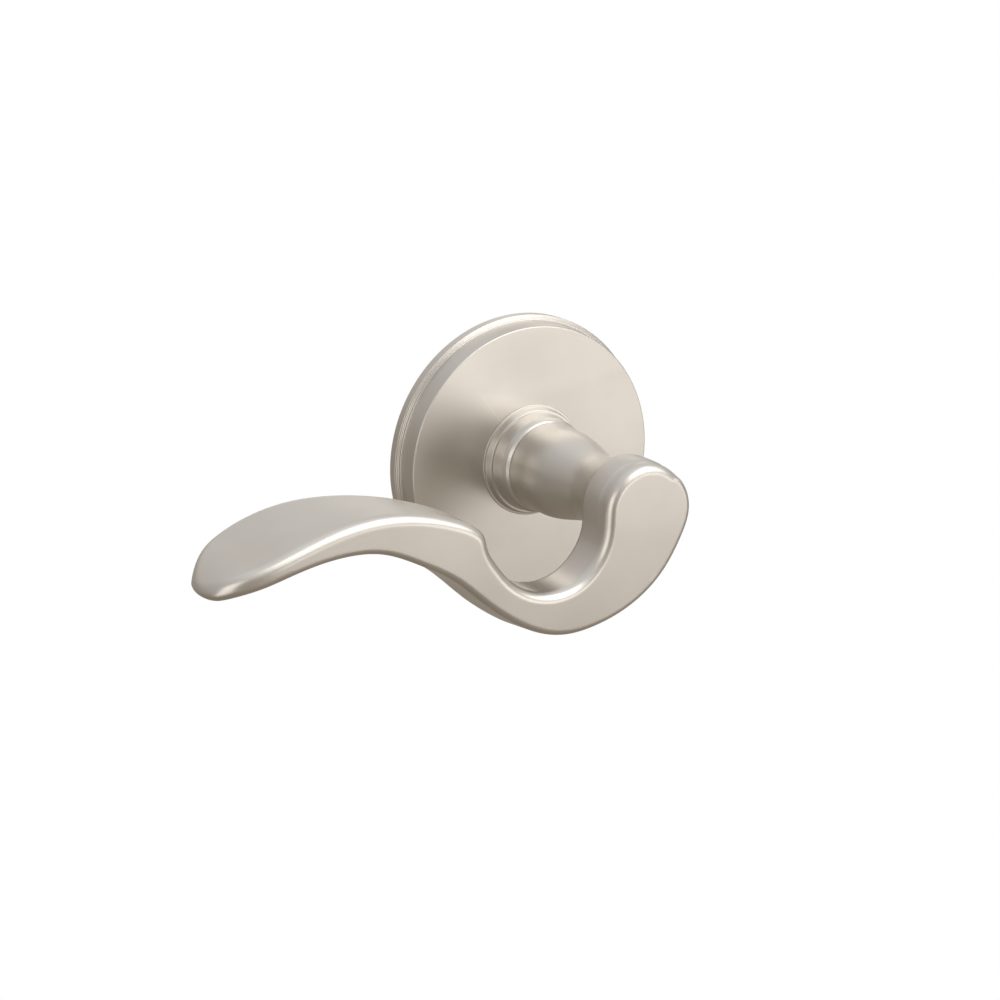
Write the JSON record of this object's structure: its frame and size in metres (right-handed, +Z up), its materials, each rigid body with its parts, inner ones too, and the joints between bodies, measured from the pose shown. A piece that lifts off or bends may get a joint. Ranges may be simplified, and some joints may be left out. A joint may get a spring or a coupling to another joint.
{
  "type": "door lever handle",
  "caption": "Sprung door lever handle in satin nickel: a scrolled wave lever on a round stepped rose, with concealed fixing.",
  "frame": {"origin": "on the door's face, on the spindle's axis", "axes": "+Z up; +Y into the door, -Y towards the person; the lever points to -X"},
  "size_m": [0.1292, 0.0838, 0.0636],
  "materials": {
    "satin_nickel": "satin-brushed nickel plate, fine soft sheen",
    "zinc_casting": "bare zinc casting, matt grey",
    "plated_steel": "bright zinc-plated steel",
    "spring_steel": "drawn or stamped spring steel, dark satin",
    "black_steel": "black oxide steel, dull",
    "nylon": "natural white nylon"
  },
  "bodies": {
    "rose": {"rose_cover": "satin_nickel", "rose_collar": "satin_nickel", "mounting_plate": "plated_steel", "spring_housing": "zinc_casting", "neck_bushing": "nylon", "post_upper": "plated_steel", "post_lower": "plated_steel", "collar_screw_1": "black_steel", "collar_screw_2": "black_steel", "collar_screw_3": "black_steel", "collar_screw_4": "black_steel", "cover_clip_1": "spring_steel", "clip_rivet_1": "zinc_casting", "cover_clip_2": "spring_steel", "clip_rivet_2": "zinc_casting", "cover_clip_3": "spring_steel", "clip_rivet_3": "zinc_casting"},
    "lever": {"lever_handle": "satin_nickel", "neck_bead": "satin_nickel", "spindle": "plated_steel", "drive_plate": "plated_steel", "return_spring": "spring_steel", "thrust_washer": "plated_steel", "wave_washer": "spring_steel", "retaining_ring": "spring_steel", "set_screw": "black_steel"}
  },
  "joints": [
    {"name": "lever_turn", "type": "hinge", "parent": "rose", "child": "lever", "pos_m": [0, 0, 0], "axis": [0, -1, 0], "range_deg": [-45, 45], "stiffness_Nm_per_rad": 1, "springref_deg": -2.33, "deforming": ["return_spring"]}
  ]
}
